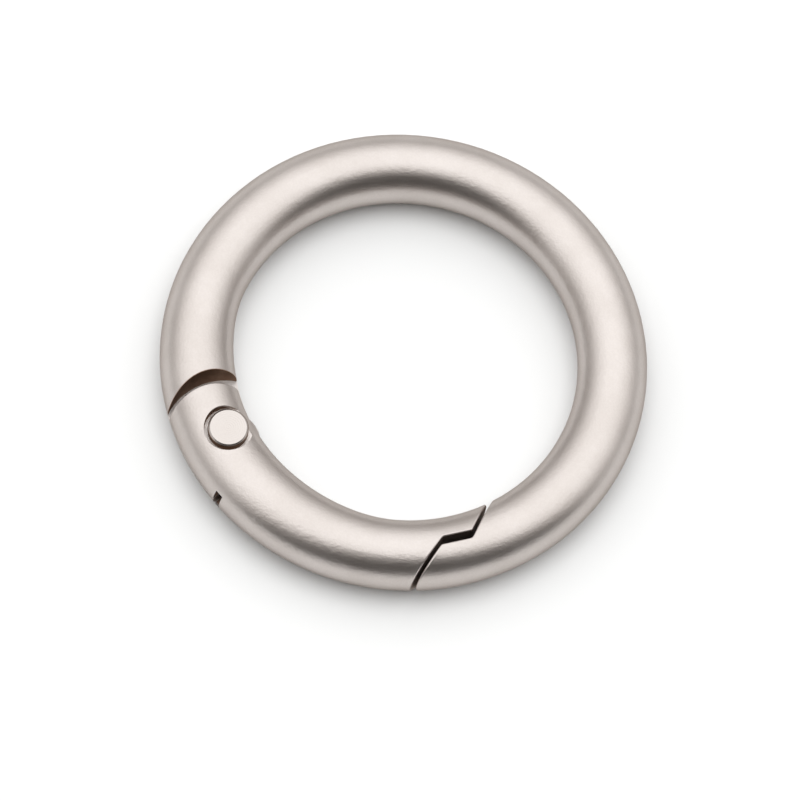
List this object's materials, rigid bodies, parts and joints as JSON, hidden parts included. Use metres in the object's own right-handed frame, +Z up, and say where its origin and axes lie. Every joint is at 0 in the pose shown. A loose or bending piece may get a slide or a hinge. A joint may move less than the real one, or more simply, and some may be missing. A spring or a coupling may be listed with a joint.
{
  "type": "round carabiner",
  "caption": "Round carabiner of thick round wire: a C-shaped frame and an inward-opening sprung gate on a riveted half-lap hinge with a stepped nose.",
  "frame": {"origin": "Centre of the ring on the flat surface it lies on: the lowest point of the wire is at Z 0 and the wire's centre plane is half the wire's thickness above it.", "axes": "+Z up along the ring's axis; the gate lies on the -Y side, with its hinge toward -X and its nose toward +X; +Y runs from the gate to the back of the frame."},
  "size_m": [0.035, 0.035, 0.005],
  "materials": {
    "satin_nickel": "zinc die-casting with a fine-blasted satin nickel plating",
    "rivet_steel": "steel rivet plated with the ring, satin nickel",
    "spring_steel": "drawn spring steel wire, plain"
  },
  "bodies": {
    "frame": {"frame": "satin_nickel", "hinge_rivet": "rivet_steel", "gate_spring": "spring_steel"},
    "gate": {"gate": "satin_nickel"}
  },
  "joints": [
    {"name": "gate_hinge", "type": "hinge", "parent": "frame", "child": "gate", "pos_m": [-0.01135, -0.00857, 0.0025], "axis": [0, 0, 1], "range_deg": [0, 35], "stiffness_Nm_per_rad": 0.02, "springref_deg": -34.38, "deforming": ["gate_spring"]}
  ]
}
